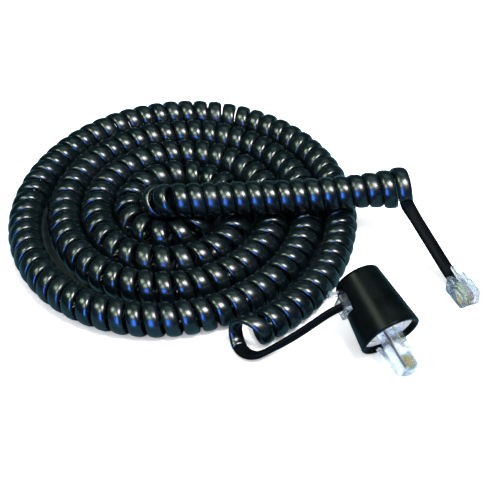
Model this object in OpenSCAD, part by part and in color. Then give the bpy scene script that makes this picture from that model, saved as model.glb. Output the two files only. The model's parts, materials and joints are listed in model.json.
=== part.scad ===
// Retractile four-conductor controller cord with two modular plugs and a turning detangler.
// Millimetres, +Z up, floor at z = 0, origin under the middle of the coiled pile.

/* [Coil] */
// Outside diameter of the coil
coil_d = 12.7; // [9:0.1:18]
// Diameter of the round section with the area of the flat cable
wire_d = 3.5; // [2:0.1:4]
// Distance between turns on a straight coil
pitch = 5.5; // [4.5:0.1:9]

/* [Pile] */
// Radius of the outer loop at its right side
loop_r = 65.77; // [50:0.01:90]
// How much each loop lies inside the one before
loop_step = 13.69; // [13.3:0.01:18]
// Front-to-back stretch of the loops
loop_stretch = 1.05; // [0.9:0.01:1.2]
// Leftward drift of the centre for each loop
drift_x = -0.81; // [-2:0.01:2]
// Backward drift of the centre for each loop
drift_y = 0.65; // [-2:0.01:2]
// Where the outer loop bulges, in turns from the right side
bulge_at = 0.6; // [0:0.01:4]
// How far it bulges there
bulge = 3.1; // [0:0.1:4]
// Where the start of the outer loop is pressed in
start_dent_at = -0.05; // [-0.2:0.01:0.1]
// How far it is pressed in
start_dent = 3.5; // [0:0.1:5]
// Where the end of the outer loop is pressed in
dent_at = 0.91; // [0:0.01:4]
// How far it is pressed in
dent = 2.7; // [0:0.1:5]
// Where the second loop is pressed in
second_dent_at = 1.86; // [0:0.01:4]
// How far the second loop is pressed in
second_dent = 1.6; // [0:0.1:4]
// Open end of the coil, in turns from the right side
start_turn = -0.185; // [-0.4:0.005:0]
// How far the open end is drawn out
open_end = 4; // [0:0.1:5]
// Turns wound before the inner end bends round
end_turn = 3.985; // [3:0.005:4.1]
// Radius of the last bend on the floor
inner_bend_r = 7.8; // [7.5:0.1:12]

/* [Top run] */
// Heading of the top run, anticlockwise from +X
run_yaw = 3; // [-10:0.5:10]
// Length of the straight top run
run_length = 86.0; // [40:0.5:140]
// Sideways distance between the floor strand and the top run
run_offset = 15.0; // [13:0.1:22]
// Gap between the top run and the strands under it
run_gap = 0.3; // [0.05:0.05:1]

/* [Plugs] */
// Width of a modular plug
plug_w = 7.65; // [7.5:0.05:7.8]
// Height of a modular plug without its latch
plug_h = 6.6; // [6.4:0.05:6.8]
// Length of a cord plug
plug_l = 11.7; // [11:0.1:13]
// Distance between contact blades
blade_pitch = 1.02; // [1:0.01:1.1]
// Rest angle of a latch
latch_angle = 10; // [8:0.5:12]

/* [Swivel] */
// Length of the swivel housing
house_l = 26; // [24:0.5:34]
// Radius of the housing at its rear edge
house_rear_r = 8.65; // [7.5:0.05:9.5]
// Radius of the housing at its front edge
house_front_r = 11.7; // [10.5:0.05:13]
// Wall of the housing
house_wall = 1.4; // [1:0.1:2]
// Depth of the white disc behind the rim
disc_recess = 2.3; // [1:0.1:4]
// Radius of the turning white hub
hub_r = 6.4; // [5.5:0.05:7]
// Width of the dark groove round the hub
hub_groove = 0.55; // [0.2:0.05:1]
// Distance of the plug tip from the rear of the housing
swivel_tip_x = 40.5; // [38:0.1:46]
// Roll of the swivel plug about its axis
swivel_plug_roll = -45; // [-180:5:180]
// Position of the side plug from the rear of the housing
side_plug_x = 9; // [8.8:0.1:9.2]
// Depth the side plug goes in from the axis
side_plug_tip_y = 0.2; // [-0.4:0.1:0.4]

/* [Places] */
// Middle of the pile, left to right
pile_x = -22.8; // [-60:0.01:60]
// Middle of the pile, front to back
pile_y = 6.87; // [-60:0.01:60]
// Rear centre of the housing, left to right
house_x = 65.3; // [40:0.1:100]
// Rear centre of the housing, front to back
house_y = -49.7; // [-80:0.1:-20]
// Heading of the housing axis
house_yaw = -61; // [-180:1:180]
// How far the housing dips towards its front
house_dip = 20; // [0:0.5:30]
// Tip of the controller plug, left to right
ctrl_tip_x = 109.3; // [80:0.1:140]
// Tip of the controller plug, front to back
ctrl_tip_y = -45.1; // [-80:0.1:0]
// Heading of the controller plug
ctrl_yaw = -66; // [-180:1:180]

/* [Hidden] */
wire_r = wire_d/2;
helix_r = coil_d/2 - wire_r;
end_h = 4.1;
axis_z = coil_d/2;
joint_over = 0.05;
collar_l = 1.2;
collar_over = 0.15;
end_gap = 0.02;
min_inner_pitch = wire_d + 0.75;
jacket = [0.04, 0.04, 0.045];
clear = [0.78, 0.86, 0.92, 0.55];
gold = [0.86, 0.68, 0.25];
brass = [0.80, 0.62, 0.28];
pale = [0.90, 0.91, 0.90];
lead_colours = [[0.05, 0.05, 0.05], [0.7, 0.08, 0.06], [0.08, 0.45, 0.15], [0.85, 0.72, 0.1]];

// ---------- vectors ----------
function unit(v) = v/norm(v);
function heading(v) = atan2(v.y, v.x);

// ---------- pile centreline ----------
dent_width = 0.13;
function bump(t, at, height) = height*exp(-pow((t - at)/dent_width, 2));
function loop_at(t) = let (r = loop_r - loop_step*t + bump(t, bulge_at, bulge)
  - bump(t, start_dent_at, start_dent) - bump(t, dent_at, dent)
  - bump(t, second_dent_at, second_dent))
  [pile_x + drift_x*t + r*cos(360*t), pile_y + drift_y*t + loop_stretch*r*sin(360*t)];
function loop_dir(t) = unit(loop_at(t + 0.001) - loop_at(t - 0.001));
bend_start = loop_at(end_turn);
bend_h0 = heading(loop_dir(end_turn));
bend_h1 = 180 + run_yaw;
bend_centre = bend_start + inner_bend_r*[-sin(bend_h0), cos(bend_h0)];
function bend_at(h) = bend_centre + inner_bend_r*[sin(h), -cos(h)];
bend_deg = 2;
loop_samples = 1200;
function turn_of(i) = start_turn + (end_turn - start_turn)*i/loop_samples;
loop_pts = [for (i = [0:loop_samples]) loop_at(turn_of(i))];
bend_n = ceil((bend_h1 - bend_h0)/bend_deg);
bend_pts = [for (i = [1:bend_n]) bend_at(bend_h0 + (bend_h1 - bend_h0)*i/bend_n)];
pile_pts = concat(loop_pts, bend_pts);
pile_end = pile_pts[len(pile_pts) - 1];

// ---------- top run centreline, in its own tilted plane ----------
run_rise = coil_d + run_gap;
run_tilt = atan(run_rise/run_offset);
hairpin_r = norm([run_rise, run_offset])/2;
hairpin_n = 60;
function hairpin_at(h) = [hairpin_r*sin(h), hairpin_r - hairpin_r*cos(h)];
hairpin_pts = [for (i = [0:hairpin_n]) hairpin_at(180 + 180*i/hairpin_n)];
run_pts = concat(hairpin_pts, [for (i = [1:60]) [run_length*i/60, 0]]);
back = [-sin(run_yaw), cos(run_yaw)];
run_start = pile_end - run_offset*back;
run_origin = [run_start.x, run_start.y, axis_z + run_rise];

// ---------- stations along a centreline ----------
function cumulative(p) = [for (i = 0, s = 0; i < len(p);
  i = i + 1, s = s + (i < len(p) ? norm(p[i] - p[i - 1]) : 0)) s];
function table(c, p, axis) = [for (i = [0:len(p) - 1]) [c[i], p[i][axis]]];
function place_at(tab, s) = [lookup(s, tab[0]), lookup(s, tab[1])];
function dir_at(tab, s) = unit(place_at(tab, s + 0.4) - place_at(tab, s - 0.4));
function side_at(tab, s) = let (d = dir_at(tab, s)) [-d.y, d.x];
function turn_angle(a, b) = let (d = abs(heading(b) - heading(a))) min(d, 360 - d);
reach = 2.5;
function inside(tab, s) = max(reach + 0.5, min(s, tab[0][len(tab[0]) - 1][0] - reach - 0.5));
function radius_at(tab, s) = let (
  c = inside(tab, s),
  turn = turn_angle(dir_at(tab, c - reach), dir_at(tab, c + reach)))
  2*reach/max(0.0001, turn*PI/180);
function pitch_at(tab, s) = max(pitch, min_inner_pitch/(1 - min(0.6, helix_r/radius_at(tab, s))));
function raw_stations(tab, total) = [for (s = 0; s < total; s = s + pitch_at(tab, s)/2) s];
// stations scaled to end exactly at the end of the path; odd is 1, 0, or -1 for either
function stations(tab, total, odd) = let (
  raw = raw_stations(tab, total),
  final = raw[len(raw) - 1],
  all = concat(raw, [for (i = [1:3]) final + i*pitch_at(tab, final)/2]),
  want = odd < 0 ? len(raw) : (len(raw) % 2 == odd ? len(raw) : len(raw) + 1),
  k = total/all[want])
  [for (i = [0:want]) all[i]*k];

pile_c = cumulative(pile_pts);
pile_len = pile_c[len(pile_c) - 1];
pile_tab = [table(pile_c, pile_pts, 0), table(pile_c, pile_pts, 1)];
pile_s = stations(pile_tab, pile_len, -1);
pile_n = len(pile_s) - 1;
run_c = cumulative(run_pts);
run_len = run_c[len(run_c) - 1];
run_tab = [table(run_c, run_pts, 0), table(run_c, run_pts, 1)];
run_s = stations(run_tab, run_len, pile_n % 2 == 0 ? 1 : 0);
run_n = len(run_s) - 1;

// turns alternate between the left and the right side of the centreline; a long pitch takes
// up some of their width, so every turn stands as high as the coil
function side_h(s, k) = k == 0 || k == len(s) - 1 ? end_h
  : sqrt(helix_r*helix_r - pow((s[k + 1] - s[k - 1])/4, 2));
function side_point(tab, s, k, first) = place_at(tab, s[k])
  + ((first + k) % 2 == 0 ? 1 : -1)*side_h(s, k)*side_at(tab, s[k]);

// ---------- shared shapes ----------
module wire_section() {
  circle(r = wire_r, $fn = 24);
}
module half_turn(p, q, over) {
  mid = (p + q)/2;
  translate([mid.x, mid.y, 0])
    rotate([0, 0, heading(q - p)])
      rotate([over ? 90 : -90, 0, 0])
        rotate_extrude(angle = 180, $fn = 32)
          translate([norm(q - p)/2, 0]) wire_section();
}
module joint_ball(p) {
  translate(p) sphere(r = wire_r + joint_over, $fn = 24);
}
module coil(tab, s, first, drawn_out) {
  last = len(s) - 1;
  pts = [for (k = [0:last]) side_point(tab, s, k, first) - (k == 0 ? drawn_out*dir_at(tab, 0) : [0, 0])];
  for (k = [0:last - 1])
    half_turn(pts[k], pts[k + 1], (first + k) % 2 == 0);
  for (k = [0:last - 1])
    joint_ball([pts[k].x, pts[k].y, 0]);
}
// part of a turn square to the centreline; 0 is the left side and 90 the top
module turn_arc(from, angle) {
  rotate([90, 0, 90])
    rotate([0, 0, from])
      rotate_extrude(angle = angle, $fn = 48)
        translate([end_h, 0]) wire_section();
}
module station_arc(c, h, from, angle) {
  translate([c.x, c.y, axis_z]) rotate([0, 0, h]) turn_arc(from, angle);
}
module run_place() {
  translate(run_origin) rotate([0, 0, run_yaw]) rotate([-run_tilt, 0, 0]) children();
}

// ---------- tails: arc, straight, arc ----------
function between(t, d) = acos(max(-1, min(1, t*d)));
function bend_shift(t, d, r) = r*tan(between(t, d)/2)*(t + d);
function tail_dir(p0, t0, r0, p1, t1, r1, d, n) = n == 0 ? d : tail_dir(p0, t0, r0, p1, t1, r1,
  unit((p1 - bend_shift(t1, d, r1)) - (p0 + bend_shift(t0, d, r0))), n - 1);
module frame_at(o, x, y, z) {
  multmatrix([[x.x, y.x, z.x, o.x], [x.y, y.y, z.y, o.y], [x.z, y.z, z.z, o.z], [0, 0, 0, 1]])
    children();
}
module bend(s, t, d, r) {
  n = unit(d - (d*t)*t);
  frame_at(s + r*n, -n, t, cross(t, n))
    rotate_extrude(angle = between(t, d), $fn = 64)
      translate([r, 0]) wire_section();
}
// a collar as wide as the strain ridges moulded on the jacket
module joint_collar() {
  translate([0, 0, -collar_l/2]) cylinder(h = collar_l, r = wire_r + collar_over, $fn = 24);
}
module along(a, d) {
  side = unit(cross(d, [0, 0, 1]));
  frame_at(a, side, cross(d, side), d) children();
}
module straight(a, b) {
  along(a, unit(b - a)) cylinder(h = norm(b - a), r = wire_r, $fn = 24);
}
module tail(p0, t0, r0, p1, t1, r1) {
  d = tail_dir(p0, t0, r0, p1, t1, r1, unit(p1 - p0), 30);
  line_start = p0 + bend_shift(t0, d, r0);
  line_end = p1 - bend_shift(t1, d, r1);
  bend(p0 + end_gap*t0, t0, d, r0);
  along(line_start, d) joint_collar();
  straight(line_start, line_end);
  along(line_end, d) joint_collar();
  bend(line_end, d, t1, r1);
  along(p1, t1) joint_collar();
  straight(p1, p1 + tail_lead_in*t1);
}

// ---------- places ----------
rim_round = 0.6;
rim_x = house_l - rim_round;
rim_r = house_front_r - (house_front_r - house_rear_r)*rim_round/house_l - rim_round;
house_rear_at = [pile_x + house_x, pile_y + house_y,
  rim_x*sin(house_dip) + rim_r*cos(house_dip) + rim_round];
axis_dir = [cos(house_dip)*cos(house_yaw), cos(house_dip)*sin(house_yaw), -sin(house_dip)];
across_dir = [-sin(house_yaw), cos(house_yaw), 0];
ctrl_tip = [pile_x + ctrl_tip_x, pile_y + ctrl_tip_y, plug_h/2];
ctrl_dir = [cos(ctrl_yaw), sin(ctrl_yaw), 0];
module swivel_place() {
  translate(house_rear_at) rotate([0, 0, house_yaw]) rotate([0, house_dip, 0]) children();
}
module side_plug_place() {
  swivel_place() translate([side_plug_x, side_plug_tip_y, 0]) rotate([90, 0, 90]) children();
}
module swivel_plug_place() {
  swivel_place() translate([swivel_tip_x, 0, 0]) rotate([swivel_plug_roll, 0, 0]) children();
}
module ctrl_plug_place() {
  translate(ctrl_tip) rotate([0, 0, ctrl_yaw]) rotate([180, 0, 0]) children();
}

// ---------- modular plug, tip at x = 0, blades on +z, latch on -z ----------
cable_z = -0.4;
entry_x = -7.5;
entry_start = -13.2;
tail_lead_in = entry_x - entry_start;
blade_t = 0.35;
slot_w = 0.55;
lead_r = 0.45;
lead_z = -0.55;
lead_from = -7.3;
lead_to = -1.3;
latch_axis_x = -0.9;
latch_r = 0.45;
latch_axis_z = -plug_h/2 - latch_r - 0.1;
latch_l = 12.6;
function lane(i) = (i - 1.5)*blade_pitch;

module plug_body(l, rear_open) {
  cavity_z = rear_open ? -2.3 : -1.15;
  cavity_h = rear_open ? 3.8 : 1.2;
  cavity_w = rear_open ? 5.2 : 4.2;
  notch_z = rear_open ? 1.4 : 2.2;
  difference() {
    translate([-l, -plug_w/2, -plug_h/2]) cube([l, plug_w, plug_h]);
    for (i = [0:3])
      translate([-6.2, lane(i) - slot_w/2, 0]) cube([7, slot_w, plug_h]);
    translate([-7.3, -2.1, -1.15]) cube([6.3, 4.2, 1.2]);
    translate([-l - 1, -cavity_w/2, cavity_z]) cube([l - 6.2, cavity_w, cavity_h]);
    translate([-10.8, -2.55, notch_z]) cube([2.4, 5.1, plug_h]);
    // lower nose in front of the blades
    translate([-0.8, -plug_w/2 - 1, plug_h/2 - 0.7]) cube([2, plug_w + 2, 2]);
  }
}
module plug_contacts() {
  for (i = [0:3])
    difference() {
      translate([-5.2, lane(i) - blade_t/2, 0.06]) cube([4.2, blade_t, 2.5]);
      translate([-4.2, lane(i) - 1, -0.5]) cube([0.9, 2, 1.3]);
      translate([-2.6, lane(i) - 1, -0.5]) cube([0.9, 2, 1.3]);
    }
}
module plug_wedge() {
  difference() {
    translate([-10.6, -2.4, 1.42]) cube([2.0, 4.8, 1.6]);
    translate([-10.1, -1.9, 2.6]) cube([1.0, 3.8, 1]);
  }
}
module plug_latch() {
  translate([latch_axis_x, 0, latch_axis_z]) {
    rotate([90, 0, 0]) cylinder(h = 6, r = latch_r, center = true, $fn = 24);
    rotate([0, -latch_angle, 0]) {
      translate([-5.2, -3, -latch_r]) cube([5.2, 6, 2*latch_r]);
      translate([-latch_l, -1.6, -latch_r]) cube([latch_l - 1, 3.2, 2*latch_r]);
      translate([-latch_l, -1.6, -latch_r - 0.5]) cube([0.8, 3.2, 0.9]);
    }
  }
}
module plug_lead(i, from, to) {
  translate([from, lane(i), lead_z]) rotate([0, 90, 0]) cylinder(h = to - from, r = lead_r, $fn = 20);
}

// ---------- swivel sections: x is the axis, drawn as radius against x ----------
function outer_r(x) = house_rear_r + (house_front_r - house_rear_r)*x/house_l;
function inner_r(x) = outer_r(x) - house_wall;
module revolve_x() {
  rotate([90, 0, 90]) rotate_extrude($fn = 96) children();
}
module band(x0, x1, r0, r1) {
  revolve_x() polygon([[r0, x0], [r1, x0], [r1, x1], [r0, x1]]);
}
rear_fillet = 1.6;
seat_gap = 0.05;
insert_rear = 1.65;
insert_front = 14.4;
disc_front = house_l - disc_recess;
disc_t = 2;
flange_front = disc_front - disc_t - 0.1;
flange_t = 1.9;
flange_r = hub_r + hub_groove + 1.3;
core_rear = 14.7;
core_r = 3.4;
core_bore = 2.4;
journal_r = 2;
journal_end = 13;
ring_r = 4.4;
ring_w = 0.8;
ring_step = 1.05;
ring_first = 15.1;
spring_r = 0.2;
spring_y = -5.4;
spring_reach = -3.4;
spring_x = side_plug_x + 2.56 + spring_r + 0.02;
plug_seat = disc_front + 0.1;
function ring_x(i) = ring_first + ring_step*i;

module housing_outline() {
  polygon(concat(
    [[0, 0]],
    [for (a = [0:10:80]) [outer_r(rear_fillet) - rear_fillet + rear_fillet*sin(a),
      rear_fillet - rear_fillet*cos(a)]],
    [for (a = [0:15:90]) [rim_r + rim_round*cos(a), rim_x + rim_round*sin(a)]],
    [[inner_r(house_l), house_l],
     [inner_r(insert_rear - seat_gap), insert_rear - seat_gap],
     [0, insert_rear - seat_gap]]));
}
// space for the side plug and its latch, open on the left side of the housing
module side_pocket() {
  swivel_slot = 0.12;
  translate([side_plug_x, side_plug_tip_y, 0]) rotate([90, 0, 90]) {
    translate([-20, -plug_w/2 - swivel_slot, -plug_h/2 - swivel_slot])
      cube([20 + swivel_slot, plug_w + 2*swivel_slot, plug_h + 2*swivel_slot]);
    translate([-20, -3.3, -plug_h/2 - 3.2]) cube([20 + swivel_slot, 6.6, 4]);
  }
}
module housing_shell() {
  difference() {
    revolve_x() housing_outline();
    side_pocket();
  }
}
module insert_block() {
  difference() {
    revolve_x() polygon([[0, insert_rear], [inner_r(insert_rear) - seat_gap, insert_rear],
      [inner_r(insert_front) - seat_gap, insert_front], [0, insert_front]]);
    side_pocket();
    translate([journal_end - 0.2, 0, 0]) rotate([0, 90, 0])
      cylinder(h = 4, r = journal_r + seat_gap, $fn = 48);
    for (i = [0:3])
      translate([spring_x - 1, spring_y, lane(i)]) rotate([0, 90, 0])
        cylinder(h = 4, r = spring_r + 0.06, $fn = 16);
  }
}
module retainer() {
  revolve_x() polygon([[hub_r + hub_groove, disc_front - disc_t],
    [inner_r(disc_front - disc_t) - seat_gap, disc_front - disc_t],
    [inner_r(disc_front) - seat_gap, disc_front], [hub_r + hub_groove, disc_front]]);
}
module hub() {
  difference() {
    union() {
      band(disc_front - disc_t - 1, disc_front, 0, hub_r);
      band(flange_front - flange_t, flange_front, 0, flange_r);
      band(core_rear, flange_front - flange_t, 0, core_r);
      band(journal_end, core_rear, 0, journal_r);
    }
    translate([core_rear + 1.5, 0, 0]) rotate([0, 90, 0]) cylinder(h = 20, r = core_bore, $fn = 48);
  }
}
module slip_ring(i) {
  band(ring_x(i), ring_x(i) + ring_w, core_r, ring_r);
}
module rod(a, b, r) {
  d = unit(b - a);
  side = unit(cross(d, [0, 0, 1]));
  frame_at(a, side, cross(d, side), d) cylinder(h = norm(b - a), r = r, $fn = 16);
}
// contact wire: lies over a blade, passes through the insert, rubs on its slip ring
module jack_spring(i) {
  z = lane(i);
  end_x = ring_x(i) + ring_w/2;
  touch_y = -sqrt(ring_r*ring_r - z*z) - 0.12;
  rod([spring_x, spring_reach, z], [spring_x, spring_y, z], spring_r);
  translate([spring_x, spring_y, z]) sphere(r = spring_r, $fn = 16);
  rod([spring_x, spring_y, z], [end_x, spring_y, z], spring_r);
  translate([end_x, spring_y, z]) sphere(r = spring_r, $fn = 16);
  rod([end_x, spring_y, z], [end_x, touch_y, z], spring_r);
}

// ---------- nodes ----------
gap_angle = end_gap/end_h*180/PI;
pile_dir0 = dir_at(pile_tab, 0);
pile_open = pile_pts[0] - open_end*pile_dir0;
module coil_pile() {
  color(jacket) {
    translate([0, 0, axis_z]) coil(pile_tab, pile_s, 0, open_end);
    station_arc(pile_open, heading(pile_dir0), -90, 90);
  }
}
// the last turn goes on round the front until it heads straight down
module coil_top_run() {
  color(jacket) {
    station_arc(pile_end, bend_h1, (pile_n % 2 == 0 ? 0 : 180) + gap_angle, run_tilt - gap_angle);
    run_place() {
      coil(run_tab, run_s, pile_n, 0);
      translate([run_length, 0, 0]) turn_arc(180, run_tilt);
      joint_ball([run_length, -end_h, 0]);
    }
  }
}
side_entry = house_rear_at + (side_plug_x + cable_z)*axis_dir + (side_plug_tip_y + entry_start)*across_dir;
module swivel_tail() {
  color(jacket)
    tail([pile_open.x, pile_open.y, axis_z - end_h], [pile_dir0.y, -pile_dir0.x, 0], 8.2,
      side_entry, across_dir, 12);
}
run_end = run_origin + run_length*[cos(run_yaw), sin(run_yaw), 0]
  + end_h*[sin(run_yaw), -cos(run_yaw), 0];
module controller_tail() {
  color(jacket)
    tail(run_end, [0, 0, -1], 7, ctrl_tip + entry_start*ctrl_dir - [0, 0, cable_z], ctrl_dir, 12);
}

module side_plug_body() {
  color(clear) side_plug_place() plug_body(plug_l, true);
}
module side_plug_latch() {
  color(clear) side_plug_place() plug_latch();
}
module side_plug_contacts() {
  color(gold) side_plug_place() plug_contacts();
}
module side_plug_wedge() {
  color(clear) side_plug_place() plug_wedge();
}
module side_lead(i) {
  color(lead_colours[i]) side_plug_place() plug_lead(i, lead_from, lead_to);
}
module side_lead_black() { side_lead(0); }
module side_lead_red() { side_lead(1); }
module side_lead_green() { side_lead(2); }
module side_lead_yellow() { side_lead(3); }

module ctrl_plug_body() {
  color(clear) ctrl_plug_place() plug_body(plug_l, true);
}
module ctrl_plug_latch() {
  color(clear) ctrl_plug_place() plug_latch();
}
module ctrl_plug_contacts() {
  color(gold) ctrl_plug_place() plug_contacts();
}
module ctrl_plug_wedge() {
  color(clear) ctrl_plug_place() plug_wedge();
}
module ctrl_lead(i) {
  color(lead_colours[i]) ctrl_plug_place() plug_lead(i, lead_from, lead_to);
}
module ctrl_lead_black() { ctrl_lead(0); }
module ctrl_lead_red() { ctrl_lead(1); }
module ctrl_lead_green() { ctrl_lead(2); }
module ctrl_lead_yellow() { ctrl_lead(3); }

module swivel_housing() {
  color(jacket) swivel_place() housing_shell();
}
module jack_insert() {
  color([0.12, 0.12, 0.13]) swivel_place() insert_block();
}
module retaining_ring() {
  color(pale) swivel_place() retainer();
}
module rotor_hub() {
  color(pale) swivel_place() hub();
}
module slip_ring_1() { color(brass) swivel_place() slip_ring(0); }
module slip_ring_2() { color(brass) swivel_place() slip_ring(1); }
module slip_ring_3() { color(brass) swivel_place() slip_ring(2); }
module slip_ring_4() { color(brass) swivel_place() slip_ring(3); }
module jack_spring_1() { color(gold) swivel_place() jack_spring(0); }
module jack_spring_2() { color(gold) swivel_place() jack_spring(1); }
module jack_spring_3() { color(gold) swivel_place() jack_spring(2); }
module jack_spring_4() { color(gold) swivel_place() jack_spring(3); }

module swivel_plug_body() {
  color(clear) swivel_plug_place() plug_body(swivel_tip_x - plug_seat, false);
}
module swivel_plug_latch() {
  color(clear) swivel_plug_place() plug_latch();
}
module swivel_plug_contacts() {
  color(gold) swivel_plug_place() plug_contacts();
}
module rotor_lead(i) {
  color(lead_colours[i]) swivel_plug_place() plug_lead(i, core_rear + 2 - swivel_tip_x, lead_to);
}
module rotor_lead_black() { rotor_lead(0); }
module rotor_lead_red() { rotor_lead(1); }
module rotor_lead_green() { rotor_lead(2); }
module rotor_lead_yellow() { rotor_lead(3); }

coil_pile();
coil_top_run();
swivel_tail();
controller_tail();
side_plug_body();
side_plug_latch();
side_plug_contacts();
side_plug_wedge();
side_lead_black();
side_lead_red();
side_lead_green();
side_lead_yellow();
ctrl_plug_body();
ctrl_plug_latch();
ctrl_plug_contacts();
ctrl_plug_wedge();
ctrl_lead_black();
ctrl_lead_red();
ctrl_lead_green();
ctrl_lead_yellow();
swivel_housing();
jack_insert();
retaining_ring();
rotor_hub();
slip_ring_1();
slip_ring_2();
slip_ring_3();
slip_ring_4();
jack_spring_1();
jack_spring_2();
jack_spring_3();
jack_spring_4();
swivel_plug_body();
swivel_plug_latch();
swivel_plug_contacts();
rotor_lead_black();
rotor_lead_red();
rotor_lead_green();
rotor_lead_yellow();
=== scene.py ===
import json
import math

import bpy
import numpy as np
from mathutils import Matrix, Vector


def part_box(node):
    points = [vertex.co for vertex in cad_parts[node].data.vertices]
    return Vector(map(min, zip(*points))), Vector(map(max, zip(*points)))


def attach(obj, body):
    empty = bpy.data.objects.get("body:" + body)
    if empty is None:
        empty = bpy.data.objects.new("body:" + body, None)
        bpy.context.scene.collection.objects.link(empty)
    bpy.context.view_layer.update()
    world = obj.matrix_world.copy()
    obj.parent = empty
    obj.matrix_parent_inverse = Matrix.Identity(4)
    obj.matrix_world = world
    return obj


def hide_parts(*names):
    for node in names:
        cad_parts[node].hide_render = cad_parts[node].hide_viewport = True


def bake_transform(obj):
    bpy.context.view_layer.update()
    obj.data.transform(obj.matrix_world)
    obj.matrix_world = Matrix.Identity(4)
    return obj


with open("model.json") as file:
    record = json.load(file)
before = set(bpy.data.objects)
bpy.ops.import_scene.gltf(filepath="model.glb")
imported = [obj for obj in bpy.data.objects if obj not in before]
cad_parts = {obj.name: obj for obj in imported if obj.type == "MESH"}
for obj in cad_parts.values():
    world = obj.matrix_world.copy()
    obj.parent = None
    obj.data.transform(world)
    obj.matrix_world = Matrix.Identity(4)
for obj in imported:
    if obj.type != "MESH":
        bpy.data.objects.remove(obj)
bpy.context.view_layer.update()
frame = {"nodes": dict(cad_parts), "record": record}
MM = 0.001
UP = np.array([0, 0, 1.0])

# ---------------------------------------------------------------- cord sizes, millimetres
# the coil and the flat cable it is wound from
COIL_D = 13.2
FLAT_W = 5.5
FLAT_T = 2.6
HELIX_R = COIL_D / 2 - FLAT_T / 2
PITCH = 5.5
# how wide the turns may spread in a bend, in the pile and in the run
WIDEST_PILE, WIDEST_RUN = 7.4, 5.8
# the gap kept between turns inside a bend, the sharpest bend counted, and the samples averaged
TURN_GAP, TIGHTEST, AVERAGED = 0.1, 0.45, 41
# the spiral of loops, as in the CAD: radius, its loss per turn, and how the middle drifts
LOOP_R, LOOP_STEP, STRETCH = 65.77, 13.69, 1.05
DRIFT_X, DRIFT_Y = -0.81, 0.65
# places, in turns, where a strand lies further out or in, and by how much
BUMPS = ((-0.05, -3.5), (0.6, 3.1), (0.91, -2.7), (1.86, -1.6))
BUMP_WIDTH = 0.13
START_T, END_T = -0.185, 3.985
LOOP_POINTS = 3200
BEND_R = 7.8
BEND_POINTS = 90
# the run that climbs on to the pile and crosses it
RUN_YAW = math.radians(3.0)
RUN_LENGTH = 86.0
RUN_POINTS = 260
HAIRPIN_POINTS = 160
RUN_OFFSET = 15.0
RUN_RISE = 13.0
# the run's far end stands a little higher, from this share of its length on
RUN_LIFT, LIFT_FROM = 2.4, 0.45
# the coil's axis lies this high above the floor
AXIS_Z = COIL_D / 2
# the first half turn is drawn out along the coil, and the run's last turns open out
OPEN_END = 4.0
LOOSE_END, LOOSE_TURNS = 2.0, 3.5
# how far the CAD coil's left and rear faces lie from its centreline
CAD_SIDE = 6.14

# the flat tails: section, the bend at the coil and the bend at the plug
TAIL_W, TAIL_T = 5.3, 2.5
SWIVEL_TAIL_BENDS = (7.2, 12.0)
CTRL_TAIL_BENDS = (3.6, 8.0)
TAIL_SAG = 2.0
# share of a tail's length over which its flat side turns to that of the plug
SWIVEL_TAIL_TWIST, CTRL_TAIL_TWIST = 0.45, 0.22
# how far behind a plug's tip the cable runs straight, how far it goes in, and how far off the axis
ENTRY_BACK, ENTRY_DEPTH = 13.2, 5.7
CABLE_OFFSET = 0.4
# a plug's latch hinge lies this far below the plug's axis and behind its tip
LATCH_BELOW, LATCH_BACK = 3.85, 0.9
# the record's mount on the controller plug lies this far above the plug's axis
MOUNT_ABOVE = 2.0

# ---------------------------------------------------------------- mesh fineness
STEPS_PER_TURN = 30
SECTION = 18
TAIL_STEP = 0.8
EASING_STEP, EASING_PASSES = 0.5, 6
CORNER_POWER = 2.25


def unit(v):
    v = np.asarray(v, float)
    return v / np.linalg.norm(v)


def units(d):
    return d / np.linalg.norm(d, axis=1)[:, None]


def eased(q):
    """q from 0 to 1, with a gentle start and end."""
    return q * q * (3 - 2 * q)


# ---------------------------------------------------------------- the coil's centreline
def loops():
    """The spiral of loops on the floor and the tight bend at its inner end, seen from above."""
    t = np.linspace(START_T, END_T, LOOP_POINTS)
    r = LOOP_R - LOOP_STEP * t
    for place, height in BUMPS:
        r = r + height * np.exp(-((t - place) / BUMP_WIDTH) ** 2)
    a = 2 * math.pi * t
    p = np.stack([DRIFT_X * t + r * np.cos(a), DRIFT_Y * t + STRETCH * r * np.sin(a)], 1)
    d = p[-1] - p[-2]
    h0 = math.atan2(d[1], d[0])
    h1 = math.pi + RUN_YAW
    c = p[-1] + BEND_R * np.array([-math.sin(h0), math.cos(h0)])
    h = np.linspace(h0, h1, BEND_POINTS)[1:]
    bend = c + BEND_R * np.stack([np.sin(h), -np.cos(h)], 1)
    return np.concatenate([p, bend])


def pile_line():
    """The pile's centreline, set so that the coil lies where the CAD coil does, and its middle."""
    p = loops()
    lo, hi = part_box("coil_pile")
    shift = np.array([lo.x / MM + CAD_SIDE - p[:, 0].min(), hi.y / MM - CAD_SIDE - p[:, 1].max()])
    p = p + shift
    return np.column_stack([p, np.full(len(p), AXIS_Z)]), shift


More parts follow.
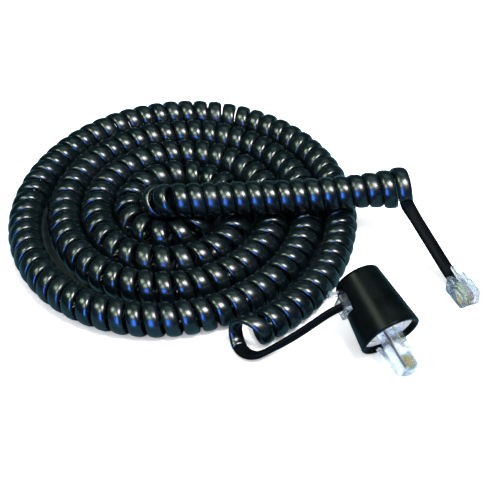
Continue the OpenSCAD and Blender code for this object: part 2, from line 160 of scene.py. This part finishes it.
def run_line(start):
    """The hairpin that climbs on to the pile and the straight run, with the frame they lie in."""
    tilt = math.atan(RUN_RISE / RUN_OFFSET)
    rho = math.hypot(RUN_RISE, RUN_OFFSET) / 2
    east = np.array([math.cos(RUN_YAW), math.sin(RUN_YAW), 0])
    north = np.array([-math.sin(RUN_YAW), math.cos(RUN_YAW), 0])
    back = north * math.cos(tilt) - UP * math.sin(tilt)
    up = np.cross(east, back)
    h = np.linspace(math.pi, 2 * math.pi, HAIRPIN_POINTS)
    u = np.concatenate([rho * np.sin(h), np.linspace(0, RUN_LENGTH, RUN_POINTS)[1:]])
    w = np.concatenate([rho - rho * np.cos(h), np.zeros(RUN_POINTS - 1)])
    q = np.clip((u - LIFT_FROM * RUN_LENGTH) / ((1 - LIFT_FROM) * RUN_LENGTH), 0, 1)
    lift = RUN_LIFT * eased(q)
    origin = start - 2 * rho * back
    line = origin + u[:, None] * east + w[:, None] * back + lift[:, None] * UP
    return line, up, tilt, east


def arclen(p):
    return np.concatenate([[0], np.cumsum(np.linalg.norm(np.diff(p, axis=0), axis=1))])


def at(p, c, s):
    """Points of the line p, with arc lengths c, at the arc lengths s."""
    return np.stack([np.interp(s, c, p[:, k]) for k in range(3)], 1)


def chord(p, c, s, reach):
    """From the point reach before each arc length s to the point reach after it."""
    return at(p, c, np.clip(s + reach, 0, c[-1])) - at(p, c, np.clip(s - reach, 0, c[-1]))


def noise(s, seed, scale):
    """A smooth uneven line along s, about -1 to 1, whose longest wave is scale."""
    rng = np.random.RandomState(seed)
    out = np.zeros_like(s)
    for k in range(5):
        f = (1.7 ** k) / scale
        out += np.sin(2 * math.pi * (f * s + rng.rand())) / (k + 1)
    return out / 2.3


def pitch_along(p, c, s, seed, gaps, widest):
    """Spacing of the turns: uneven, and wider in bends so that they clear each other inside."""
    q = chord(p, c, s, 1.5)
    h = np.unwrap(np.arctan2(q[:, 1], q[:, 0]))
    k = np.abs(np.gradient(h, s))
    k = np.convolve(np.pad(k, AVERAGED // 2, mode="edge"), np.ones(AVERAGED) / AVERAGED, "valid")
    inner = (FLAT_W + TURN_GAP) / np.clip(1 - HELIX_R * k, TIGHTEST, 1)
    uneven = 1 + 0.05 * noise(s, seed, 60.0) + 0.02 * noise(s, seed + 1, 9.0)
    out = np.maximum(PITCH * uneven, np.minimum(inner, widest))
    for place, width, size in gaps:
        out = out + size * np.exp(-((s - place) / width) ** 2)
    return out


def coil_wire(p, normal, phase0, seed, end_phase=None, gaps=(), drawn_out=0.0, loose_end=0.0,
              widest=WIDEST_PILE):
    """Points, outward normals and centreline places of the cable wound round the line p."""
    c = arclen(p)
    s = np.linspace(0, c[-1], int(c[-1] * 8))
    pitch = pitch_along(p, c, s, seed, gaps, widest)
    phase = np.concatenate([[0], np.cumsum(2 * math.pi / ((pitch[1:] + pitch[:-1]) / 2) * np.diff(s))])
    if end_phase is not None:
        turns = round((phase[-1] + phase0 - end_phase) / (2 * math.pi))
        phase = phase * ((end_phase + 2 * math.pi * turns - phase0) / phase[-1])
    n = int(phase[-1] / (2 * math.pi) * STEPS_PER_TURN)
    ph = np.linspace(0, phase[-1], n)
    ss = np.interp(ph, phase, s)
    ctr = at(p, c, ss)
    t = units(chord(p, c, ss, 0.2))
    left = np.cross(normal, t)
    a = ph + phase0
    out = np.cos(a)[:, None] * left + np.sin(a)[:, None] * normal
    last = np.clip(1 - (a[-1] - a) / (2 * math.pi * LOOSE_TURNS), 0, 1)
    r = HELIX_R + 0.05 * noise(ss, seed + 5, 14.0)[:, None] + loose_end * (last * last)[:, None]
    w = np.clip(1 - a / math.pi, 0, 1)
    ctr = ctr - drawn_out * eased(w)[:, None] * t
    return ctr + r * out, out, phase0 + phase[-1]


# ---------------------------------------------------------------- tails
def bend_shift(t, d, r):
    """From the start to the end of a bend of radius r that turns direction t into d."""
    a = math.acos(max(-1.0, min(1.0, float(t @ d))))
    return r * math.tan(a / 2) * (t + d)


def arc_points(s, t, d, r):
    a = math.acos(max(-1.0, min(1.0, float(t @ d))))
    n = unit(d - (d @ t) * t)
    q = np.linspace(0, a, 24)
    return s + r * n - r * np.cos(q)[:, None] * n + r * np.sin(q)[:, None] * t


def tail_line(p0, t0, p1, t1, bends, lead):
    """A bend, a straight part, a bend and a short straight end, from p0 along t0 to p1 along t1."""
    r0, r1 = bends
    d = unit(p1 - p0)
    for _ in range(30):
        d = unit((p1 - bend_shift(t1, d, r1)) - (p0 + bend_shift(t0, d, r0)))
    a = p0 + bend_shift(t0, d, r0)
    b = p1 - bend_shift(t1, d, r1)
    mid = a + np.linspace(0, 1, 40)[1:-1, None] * (b - a)
    end = p1 + np.linspace(0, 1, 12)[1:, None] * lead * t1
    return np.concatenate([arc_points(p0, t0, d, r0), mid, arc_points(b, d, t1, r1), end])


def smooth(p, passes):
    q = p.copy()
    for _ in range(passes):
        q[1:-1] = 0.25 * q[:-2] + 0.5 * q[1:-1] + 0.25 * q[2:]
    return q


def resample(p, step):
    c = arclen(p)
    return at(p, c, np.linspace(0, c[-1], max(3, int(c[-1] / step))))


def softened(p):
    """The tail line p with its bends eased in, at the spacing of the mesh."""
    return resample(smooth(resample(p, EASING_STEP), EASING_PASSES), TAIL_STEP)


def carried_normals(p, first, last, reach=1.0):
    """Carries a section direction along p without twist, then spreads what is left of the twist."""
    d = units(np.gradient(p, axis=0))
    n = np.zeros_like(p)
    n[0] = unit(first - (first @ d[0]) * d[0])
    for i in range(1, len(p)):
        n[i] = unit(n[i - 1] - (n[i - 1] @ d[i]) * d[i])
    want = unit(last - (last @ d[-1]) * d[-1])
    ang = math.atan2(float(np.cross(n[-1], want) @ d[-1]), float(n[-1] @ want))
    if ang > math.pi / 2:
        ang -= math.pi
    if ang < -math.pi / 2:
        ang += math.pi
    w = np.clip(np.linspace(0, 1, len(p)) / reach, 0, 1)
    w = eased(w) * ang
    side = np.cross(d, n)
    return np.cos(w)[:, None] * n + np.sin(w)[:, None] * side


def sag(p, depth):
    """Lowers the middle of p by depth and leaves its ends."""
    q = arclen(p) / arclen(p)[-1]
    return p - (depth * (4 * q * (1 - q)) ** 2)[:, None] * UP


# ---------------------------------------------------------------- meshes
def section(w, t, power=CORNER_POWER):
    """A rounded oblong, w by t."""
    a = np.linspace(0, 2 * math.pi, SECTION, endpoint=False)
    ca, sa = np.cos(a), np.sin(a)
    across = np.sign(ca) * np.abs(ca) ** (2 / power) * w / 2
    through = np.sign(sa) * np.abs(sa) ** (2 / power) * t / 2
    return np.stack([across, through], 1)


def sweep(name, p, n, w=FLAT_W, t=FLAT_T):
    """A flat cable along p. n is the direction through its thickness at each point."""
    d = units(np.gradient(p, axis=0))
    n = units(n - np.sum(n * d, 1)[:, None] * d)
    side = np.cross(d, n)
    sec = section(w, t)
    v = p[:, None] + sec[None, :, 0, None] * side[:, None] + sec[None, :, 1, None] * n[:, None]
    m = len(p)
    verts = np.concatenate([v.reshape(-1, 3), p[:1], p[-1:]]) * MM
    i = np.arange(m - 1)[:, None] * SECTION
    j = np.arange(SECTION)[None, :]
    k = (j + 1) % SECTION
    quads = np.stack([i + j, i + k, i + SECTION + k, i + SECTION + j], -1).reshape(-1, 4)
    faces = quads.tolist()
    a, b, top = m * SECTION, m * SECTION + 1, (m - 1) * SECTION
    faces += [[a, (q + 1) % SECTION, q] for q in range(SECTION)]
    faces += [[b, top + q, top + (q + 1) % SECTION] for q in range(SECTION)]
    mesh = bpy.data.meshes.new(name)
    mesh.from_pydata(verts.tolist(), [], faces)
    mesh.polygons.foreach_set("use_smooth", [True] * len(mesh.polygons))
    mesh.update()
    obj = bpy.data.objects.new(name, mesh)
    bpy.context.scene.collection.objects.link(obj)
    return obj


# ---------------------------------------------------------------- node materials
def new_material(name):
    m = bpy.data.materials.new(name)
    m.use_nodes = True
    nt = m.node_tree
    nt.nodes.clear()
    out = nt.nodes.new("ShaderNodeOutputMaterial")
    b = nt.nodes.new("ShaderNodeBsdfPrincipled")
    nt.links.new(b.outputs["BSDF"], out.inputs["Surface"])
    tc = nt.nodes.new("ShaderNodeTexCoord")
    return m, nt, b, tc, out


def noise_node(nt, tc, scale, detail=4.0, rough=0.55, stretch=None):
    n = nt.nodes.new("ShaderNodeTexNoise")
    n.inputs["Scale"].default_value = scale
    n.inputs["Detail"].default_value = detail
    n.inputs["Roughness"].default_value = rough
    src = tc.outputs["Object"]
    if stretch is not None:
        mp = nt.nodes.new("ShaderNodeMapping")
        mp.inputs["Scale"].default_value = stretch
        nt.links.new(src, mp.inputs["Vector"])
        src = mp.outputs["Vector"]
    nt.links.new(src, n.inputs["Vector"])
    return n


def ramp(nt, src, lo, hi, a, b):
    r = nt.nodes.new("ShaderNodeMapRange")
    r.inputs["From Min"].default_value = lo
    r.inputs["From Max"].default_value = hi
    r.inputs["To Min"].default_value = a
    r.inputs["To Max"].default_value = b
    nt.links.new(src, r.inputs["Value"])
    return r.outputs["Result"]


def mix_node(nt, fac):
    m = nt.nodes.new("ShaderNodeMix")
    m.data_type = "RGBA"
    nt.links.new(fac, m.inputs["Factor"])
    return m


def mix_colour(nt, fac, a, b):
    m = mix_node(nt, fac)
    m.inputs["A"].default_value = (*a, 1)
    m.inputs["B"].default_value = (*b, 1)
    return m.outputs["Result"]


def bump(nt, height, strength, distance, bevel=None):
    b = nt.nodes.new("ShaderNodeBump")
    b.inputs["Strength"].default_value = strength
    b.inputs["Distance"].default_value = distance
    nt.links.new(height, b.inputs["Height"])
    if bevel:
        v = nt.nodes.new("ShaderNodeBevel")
        v.samples = 4
        v.inputs["Radius"].default_value = bevel
        nt.links.new(v.outputs["Normal"], b.inputs["Normal"])
    return b.outputs["Normal"]


def moulded(name, base, light, rough=(0.3, 0.4), grain=1500.0, grain_strength=0.05, coat=0.0,
            bevel=None, dust=0.25, shine=0.5):
    """Moulded plastic: cloudy colour and gloss, a fine grain, and specks of dust."""
    m, nt, b, tc, _ = new_material(name)
    cloud = noise_node(nt, tc, 130.0)
    fine = noise_node(nt, tc, grain, 3.0)
    speck = noise_node(nt, tc, 700.0, 2.0, 0.4)
    mixed = mix_colour(nt, ramp(nt, cloud.outputs["Fac"], 0.35, 0.75, 0.0, 1.0), base, light)
    dusty = mix_node(nt, ramp(nt, speck.outputs["Fac"], 0.66, 0.78, 0.0, dust))
    nt.links.new(mixed, dusty.inputs["A"])
    dusty.inputs["B"].default_value = (*[min(1.0, 3.0 * c + 0.02) for c in light], 1)
    nt.links.new(dusty.outputs["Result"], b.inputs["Base Color"])
    nt.links.new(ramp(nt, cloud.outputs["Fac"], 0.3, 0.7, rough[0], rough[1]), b.inputs["Roughness"])
    b.inputs["Specular IOR Level"].default_value = shine
    b.inputs["Coat Weight"].default_value = coat
    b.inputs["Coat Roughness"].default_value = 0.08
    nt.links.new(bump(nt, fine.outputs["Fac"], grain_strength, 0.0002, bevel), b.inputs["Normal"])
    return m


def metal(name, base, worn, rough=(0.16, 0.34), bevel=0.00006):
    """Bright plated wire or sheet, with fine scratches and duller patches."""
    m, nt, b, tc, _ = new_material(name)
    cloud = noise_node(nt, tc, 420.0)
    scratch = noise_node(nt, tc, 900.0, 3.0, 0.6, (1.0, 9.0, 9.0))
    wear = ramp(nt, cloud.outputs["Fac"], 0.35, 0.7, 0.0, 1.0)
    nt.links.new(mix_colour(nt, wear, base, worn), b.inputs["Base Color"])
    b.inputs["Metallic"].default_value = 1.0
    nt.links.new(ramp(nt, scratch.outputs["Fac"], 0.3, 0.7, rough[0], rough[1]), b.inputs["Roughness"])
    nt.links.new(bump(nt, scratch.outputs["Fac"], 0.08, 0.0001, bevel), b.inputs["Normal"])
    return m


def clear_plastic(name, tint, cloudy, through=0.55, bevel=0.0001):
    """Moulded polycarbonate: a glossy, faintly tinted shell that lets part of what is behind it show."""
    m, nt, b, tc, out = new_material(name)
    cloud = noise_node(nt, tc, 260.0)
    fine = noise_node(nt, tc, 900.0, 2.0)
    haze = ramp(nt, cloud.outputs["Fac"], 0.3, 0.75, 0.0, 1.0)
    nt.links.new(mix_colour(nt, haze, tint, cloudy), b.inputs["Base Color"])
    nt.links.new(ramp(nt, cloud.outputs["Fac"], 0.3, 0.7, 0.04, 0.12), b.inputs["Roughness"])
    b.inputs["IOR"].default_value = 1.45
    b.inputs["Transmission Weight"].default_value = 0.97
    nt.links.new(bump(nt, fine.outputs["Fac"], 0.05, 0.0001, bevel), b.inputs["Normal"])
    see = nt.nodes.new("ShaderNodeBsdfTransparent")
    see.inputs["Color"].default_value = (0.84, 0.90, 0.95, 1)
    facing = nt.nodes.new("ShaderNodeLayerWeight")
    facing.inputs["Blend"].default_value = 0.35
    mix = nt.nodes.new("ShaderNodeMixShader")
    nt.links.new(ramp(nt, facing.outputs["Facing"], 0.0, 0.9, through, 0.1), mix.inputs["Fac"])
    nt.links.new(b.outputs["BSDF"], mix.inputs[1])
    nt.links.new(see.outputs["BSDF"], mix.inputs[2])
    nt.links.new(mix.outputs["Shader"], out.inputs["Surface"])
    return m


JACKET = moulded("jacket_pvc", (0.0008, 0.0025, 0.003), (0.002, 0.0045, 0.0055),
                 rough=(0.20, 0.30), grain=2600.0, grain_strength=0.03)
TAIL = moulded("tail_pvc", (0.0008, 0.0015, 0.002), (0.002, 0.003, 0.0035),
               rough=(0.42, 0.55), grain=2600.0, dust=0.1, shine=0.02)
HOUSING = moulded("housing_abs", (0.0008, 0.0014, 0.0016), (0.002, 0.0032, 0.0035),
                  rough=(0.24, 0.36), grain=2200.0, grain_strength=0.015, bevel=0.0002,
                  dust=0.1, shine=0.06)
INSERT = moulded("insert_black", (0.016, 0.016, 0.017), (0.03, 0.03, 0.031),
                 rough=(0.4, 0.55), grain=2000.0, grain_strength=0.08, bevel=0.0001)
WHITE = moulded("white_abs", (0.70, 0.71, 0.70), (0.80, 0.81, 0.80),
                rough=(0.3, 0.42), grain=1800.0, coat=0.1, bevel=0.0001, dust=0.06)
CLEAR = clear_plastic("clear_pc", (0.78, 0.84, 0.89), (0.88, 0.92, 0.95), 0.5)
GOLD = metal("gold_plate", (0.86, 0.62, 0.22), (0.78, 0.52, 0.18))
SPRING = metal("spring_wire", (0.80, 0.62, 0.30), (0.70, 0.52, 0.24))
BRASS = metal("slip_ring_brass", (0.78, 0.58, 0.24), (0.62, 0.44, 0.18), (0.2, 0.4))
LEADS = {
    "black": moulded("lead_black", (0.01, 0.01, 0.01), (0.02, 0.02, 0.02)),
    "red": moulded("lead_red", (0.50, 0.02, 0.015), (0.62, 0.04, 0.03)),
    "green": moulded("lead_green", (0.01, 0.22, 0.05), (0.03, 0.32, 0.09)),
    "yellow": moulded("lead_yellow", (0.72, 0.50, 0.03), (0.82, 0.62, 0.08)),
}


def cad_material(node):
    if node.startswith("slip_ring"):
        return BRASS
    if node.startswith("jack_spring"):
        return SPRING
    if node.endswith("_contacts"):
        return GOLD
    if "lead_" in node:
        return LEADS[node.split("_")[-1]]
    if node in ("retaining_ring", "rotor_hub"):
        return WHITE
    if node == "swivel_housing":
        return HOUSING
    if node == "jack_insert":
        return INSERT
    if "plug" in node:
        return CLEAR
    return JACKET


for node, obj in frame["nodes"].items():
    obj.data.materials.clear()
    obj.data.materials.append(cad_material(node))

# ---------------------------------------------------------------- places from the CAD record
record = frame["record"]
joints = {j["name"]: j for j in record["behaviour"]["joints"]}
mounts = {m["name"]: m for m in record["mounts"]}
swivel_axis = unit(joints["rotor_spin"]["axis"])
swivel_across = unit(joints["swivel_unplug"]["axis"])
side_latch = np.array(joints["side_latch_press"]["pos_m"]) / MM
ctrl_dir = unit(mounts["controller_plug_nose"]["axis"])
ctrl_tip = np.array(mounts["controller_plug_nose"]["pos_m"]) / MM - MOUNT_ABOVE * UP
side_tip = side_latch + LATCH_BELOW * swivel_axis + LATCH_BACK * swivel_across

# ---------------------------------------------------------------- the cord
pile, pile_at = pile_line()
run, run_up, run_tilt, run_east = run_line(pile[-1])
# place along the coil, reach and extra pitch of the spots where two turns stand apart
GAPS = ((265.5, 4.0, 1.4), (418.0, 3.0, 1.0), (600.0, 4.0, 0.8))
PILE_SEED, RUN_SEED = 11, 29
pile_p, pile_n, phase = coil_wire(pile, UP, -math.pi / 2, PILE_SEED, gaps=GAPS, drawn_out=OPEN_END)
run_p, run_n, _ = coil_wire(run, run_up, phase - run_tilt, RUN_SEED, end_phase=math.pi + run_tilt,
                            loose_end=LOOSE_END, widest=WIDEST_RUN)

start_dir = unit(pile_p[0] - pile_p[1])
side_entry = side_tip - ENTRY_BACK * swivel_across - CABLE_OFFSET * swivel_axis
tail1 = tail_line(pile_p[0], start_dir, side_entry, swivel_across, SWIVEL_TAIL_BENDS, ENTRY_DEPTH)
tail1 = sag(softened(tail1), TAIL_SAG)
tail1_n = carried_normals(tail1, pile_n[0], swivel_axis, SWIVEL_TAIL_TWIST)

end_dir = unit(run_p[-1] - run_p[-2])
ctrl_entry = ctrl_tip - ENTRY_BACK * ctrl_dir + CABLE_OFFSET * UP
tail2 = tail_line(run_p[-1], end_dir, ctrl_entry, ctrl_dir, CTRL_TAIL_BENDS, ENTRY_DEPTH)
tail2 = softened(tail2)
tail2_n = carried_normals(tail2, run_n[-1], UP, CTRL_TAIL_TWIST)

cord_pile = sweep("cord_pile_coil", pile_p, pile_n)
cord_run = sweep("cord_top_run_coil", run_p, run_n)
cord_tail1 = sweep("cord_swivel_tail", tail1, tail1_n, TAIL_W, TAIL_T)
cord_tail2 = sweep("cord_controller_tail", tail2, tail2_n, TAIL_W, TAIL_T)
JACKETED = ((cord_pile, JACKET), (cord_run, JACKET), (cord_tail1, TAIL), (cord_tail2, TAIL))
for obj, mat in JACKETED:
    obj.data.materials.append(mat)
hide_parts("coil_pile")
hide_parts("coil_top_run")
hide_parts("swivel_tail")
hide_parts("controller_tail")
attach(cord_pile, "cord")
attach(cord_tail1, "cord")
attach(cord_tail2, "controller_end")
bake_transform(cord_run)


# ---------------------------------------------------------------- floor, light and camera
# painted shade: the floor is painted this dark where it is closed in
FLOOR_PAINTED_SHADE = (0.01, 0.02, 0.025, 1)
# painted reflection: the floor's colour as the cord mirrors it, a dark teal, not its own pale colour
FLOOR_MIRRORED = (0.05, 0.18, 0.23, 1)
# the floor glows this much to the camera alone, less where its shade is painted
FLOOR_GLOW = 0.5
FLOOR_SIZE, FLOOR_CELLS = 3.0, 24
# the floor lies just below the cord, and the dark patch of painted shade under the pile lies on it
FLOOR_Z, PATCH_Z = -0.0003, -0.0001
# points of the centreline that make up the outermost turn
RIM_FROM, RIM_TO = 30, 790
SKY = (0.93, 0.97, 1.0, 1)
# painted reflection: the sky's colour as the cord mirrors it, a dark teal, not its own pale colour
SKY_MIRRORED = (0.015, 0.08, 0.10, 1)
SKY_STRENGTH = 0.6
# where the lights and the camera point, from the middle of the pile, millimetres
LIGHT_FOCUS = (8, -8)
CAMERA_AIM = (27.13, -13.32)
CAMERA_DISTANCE = 0.540
CAMERA_HEIGHT = math.radians(42)
CAMERA_LENS = 99.5


def direct_mirror(nt):
    """1 for a glossy ray that has not been through clear plastic, else 0; and the ray's path node."""
    path = nt.nodes.new("ShaderNodeLightPath")
    outside = nt.nodes.new("ShaderNodeMath")
    outside.operation = "LESS_THAN"
    nt.links.new(path.outputs["Transmission Depth"], outside.inputs[0])
    outside.inputs[1].default_value = 0.5
    both = nt.nodes.new("ShaderNodeMath")
    both.operation = "MULTIPLY"
    nt.links.new(path.outputs["Is Glossy Ray"], both.inputs[0])
    nt.links.new(outside.outputs[0], both.inputs[1])
    return both.outputs[0], path


def floor_material(name, open_low, open_high):
    """Pale paper, painted dark as shade where a spot is closed in; open_low and open_high say how closed
    in a spot has to be before it goes dark.
    """
    m, nt, b, tc, _ = new_material(name)
    grain = noise_node(nt, tc, 6.0)
    mottle = ramp(nt, grain.outputs["Fac"], 0.3, 0.7, 0.0, 1.0)
    paper = mix_colour(nt, mottle, (0.90, 0.90, 0.90), (0.93, 0.93, 0.93))
    open_sky = nt.nodes.new("ShaderNodeAmbientOcclusion")
    open_sky.samples = 8
    open_sky.inputs["Distance"].default_value = 0.05
    # 1 in the open, 0 where the spot is closed in; it paints the shade and dims the glow
    light = ramp(nt, open_sky.outputs["AO"], open_low, open_high, 0.0, 1.0)
    shade = mix_node(nt, light)
    shade.inputs["A"].default_value = FLOOR_PAINTED_SHADE
    nt.links.new(paper, shade.inputs["B"])
    # painted reflection: glossy rays see the floor in the teal mirrored colour
    mirrored, path = direct_mirror(nt)
    seen = mix_node(nt, mirrored)
    nt.links.new(shade.outputs["Result"], seen.inputs["A"])
    seen.inputs["B"].default_value = FLOOR_MIRRORED
    nt.links.new(seen.outputs["Result"], b.inputs["Base Color"])
    seen_by = nt.nodes.new("ShaderNodeMath")
    seen_by.operation = "MULTIPLY"
    nt.links.new(path.outputs["Is Camera Ray"], seen_by.inputs[0])
    seen_by.inputs[1].default_value = FLOOR_GLOW
    # the glow that only the camera sees is dimmed by the same painted shade
    glow = nt.nodes.new("ShaderNodeMath")
    glow.operation = "MULTIPLY"
    nt.links.new(seen_by.outputs[0], glow.inputs[0])
    nt.links.new(light, glow.inputs[1])
    nt.links.new(glow.outputs[0], b.inputs["Emission Strength"])
    b.inputs["Emission Color"].default_value = (1, 1, 1, 1)
    b.inputs["Roughness"].default_value = 0.8
    return m


def stage_piece(name, verts, faces, material):
    mesh = bpy.data.meshes.new(name)
    mesh.from_pydata(verts, [], faces)
    obj = bpy.data.objects.new(name, mesh)
    bpy.context.scene.collection.objects.link(obj)
    mesh.materials.append(material)


def floor():
    row = FLOOR_CELLS + 1
    g = np.linspace(-FLOOR_SIZE, FLOOR_SIZE, row)
    verts = [(x, y, FLOOR_Z) for y in g for x in g]
    corners = [j * row + i for j in range(FLOOR_CELLS) for i in range(FLOOR_CELLS)]
    faces = [[k, k + 1, k + row + 1, k + row] for k in corners]
    # painted shade: the floor goes dark only in the most closed-in spots, a painted contact shadow
    stage_piece("floor", verts, faces, floor_material("floor_paper", 0.05, 0.2))


def painted_shade_under_pile():
    """A dark patch of painted shade on the floor inside the outer loop, where little light gets down
    between the strands.
    """
    rim = (loops()[RIM_FROM:RIM_TO:8] + pile_at) * MM
    verts = [(*(pile_at * MM), PATCH_Z)] + [(x, y, PATCH_Z) for x, y in rim]
    faces = [[0, i, i + 1] for i in range(1, len(rim))] + [[0, len(rim), 1]]
    # painted shade: with these thresholds the patch goes dark unless a spot is almost wholly open
    stage_piece("painted_shade_under_pile", verts, faces, floor_material("floor_paper_shaded", 0.55, 0.95))


def area(name, place, target, size, power, colour, size_y=None, glint=False, shine=True):
    light = bpy.data.lights.new(name, "AREA")
    light.shape = "RECTANGLE" if size_y else "DISK"
    light.size = size
    if size_y:
        light.size_y = size_y
    light.energy = power
    light.color = colour
    obj = bpy.data.objects.new(name, light)
    bpy.context.scene.collection.objects.link(obj)
    obj.location = place
    d = Vector(target) - Vector(place)
    obj.rotation_euler = d.to_track_quat("-Z", "Y").to_euler()
    obj.visible_camera = False
    obj.visible_diffuse = not glint
    obj.visible_glossy = shine


floor()
painted_shade_under_pile()
world = bpy.data.worlds.new("studio")
bpy.context.scene.world = world
world.use_nodes = True
bg = world.node_tree.nodes["Background"]
mirrored = direct_mirror(world.node_tree)[0]
# painted reflection: the sky is a dark teal where the cord mirrors it and pale everywhere else
sky = mix_node(world.node_tree, mirrored)
sky.inputs["A"].default_value = SKY
sky.inputs["B"].default_value = SKY_MIRRORED
world.node_tree.links.new(sky.outputs["Result"], bg.inputs["Color"])
bg.inputs["Strength"].default_value = SKY_STRENGTH

focus = Vector((*((pile_at + LIGHT_FOCUS) * MM), 0.01))


def softbox(name, direction, distance, width, height, glow, colour, glint=True, shine=True):
    """A panel facing the cord; glow is its brightness, so size and distance can change freely."""
    place = focus + Vector(direction).normalized() * distance
    area(name, place, focus, width, glow * math.pi * width * height, colour, height, glint, shine)


softbox("key", (0.32, -0.26, 0.91), 1.1, 0.42, 0.40, 44.0, (1.0, 1.0, 0.99), False)
softbox("overhead", (-0.2, 0.3, 0.9), 1.2, 1.2, 1.0, 1.3, (0.97, 1.0, 0.98), False, False)
softbox("halo", (0.0, -0.25, 0.95), 1.1, 1.5, 1.4, 0.32, (0.45, 0.90, 1.0))
softbox("pane_left", (-0.40, -0.08, 0.72), 1.1, 0.36, 0.38, 17.0, (0.78, 1.0, 0.74))
softbox("pane_front_left", (-0.20, -0.50, 0.72), 1.1, 0.32, 0.36, 16.0, (0.80, 1.0, 0.76))
softbox("pane_back", (0.10, 0.50, 0.80), 1.1, 0.60, 0.50, 1.0, (0.60, 1.0, 0.85))
softbox("blue_front", (-0.18, -0.97, 0.14), 0.9, 0.30, 0.95, 30.0, (0.05, 0.22, 1.0))

cam_data = bpy.data.cameras.new("camera")
cam = bpy.data.objects.new("camera", cam_data)
bpy.context.scene.collection.objects.link(cam)
bpy.context.scene.camera = cam
aim = Vector((*((pile_at + CAMERA_AIM) * MM), 0.0))
back = Vector((0, -math.cos(CAMERA_HEIGHT), math.sin(CAMERA_HEIGHT)))
cam.location = aim + back * CAMERA_DISTANCE
cam.rotation_euler = (-back).to_track_quat("-Z", "Y").to_euler()
cam_data.sensor_width = 36
cam_data.lens = CAMERA_LENS
cam_data.clip_start, cam_data.clip_end = 0.01, 20

bpy.context.scene.view_settings.view_transform = "Standard"
bpy.context.scene.view_settings.look = "None"
